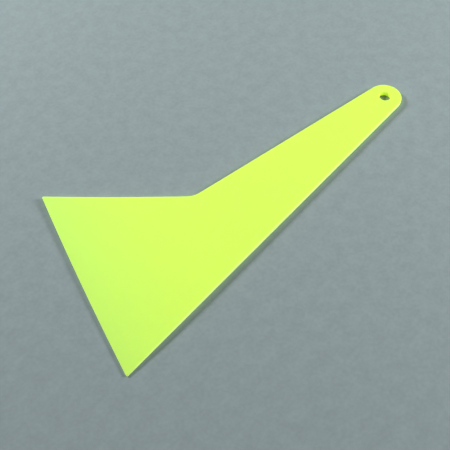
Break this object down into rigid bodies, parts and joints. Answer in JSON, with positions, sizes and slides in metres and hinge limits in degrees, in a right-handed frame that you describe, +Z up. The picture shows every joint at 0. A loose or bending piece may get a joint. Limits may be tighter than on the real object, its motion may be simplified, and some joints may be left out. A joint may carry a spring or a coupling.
{
  "type": "squeegee applicator",
  "caption": "Flat one-piece film squeegee with a wide tapered blade, a slim long handle and a hanging hole in its rounded end.",
  "frame": {"origin": "middle of the plan's box, on the flat underside", "axes": "+X along the long straight edge towards the hanging end, +Y across towards the blade's upper corner, +Z up out of the face with the tapered blade"},
  "size_m": [0.2996, 0.1362, 0.0032],
  "materials": {
    "fluorescent_plastic": "satin moulded, fluorescent yellow-green, slightly translucent"
  },
  "bodies": {
    "root": {"squeegee_body": "fluorescent_plastic"}
  },
  "joints": []
}
